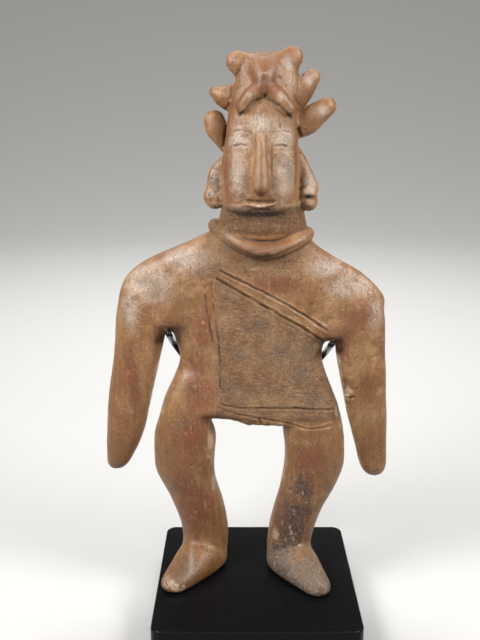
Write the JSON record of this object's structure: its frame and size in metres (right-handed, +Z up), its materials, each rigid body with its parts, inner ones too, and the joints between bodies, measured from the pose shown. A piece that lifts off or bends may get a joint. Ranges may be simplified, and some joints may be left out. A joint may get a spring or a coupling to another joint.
{
  "type": "flat clay figurine on a rod stand",
  "caption": "Flat fired-clay standing figurine with a horned animal headdress, held up by thin rods on a small black plate.",
  "frame": {"origin": "centre of the underside of the stand's plate", "axes": "+Z up through the figure, -Y the way the figure faces, +X at the viewer's right"},
  "size_m": [0.1456, 0.1016, 0.2856],
  "materials": {
    "clay": "burnished buff fired clay, unglazed, worn",
    "plate": "polished black acrylic",
    "rod": "gloss black lacquered steel rod"
  },
  "bodies": {
    "root": {"figurine": "clay", "base_plate": "plate", "support_rod_left": "rod", "support_rod_right": "rod"}
  },
  "joints": []
}
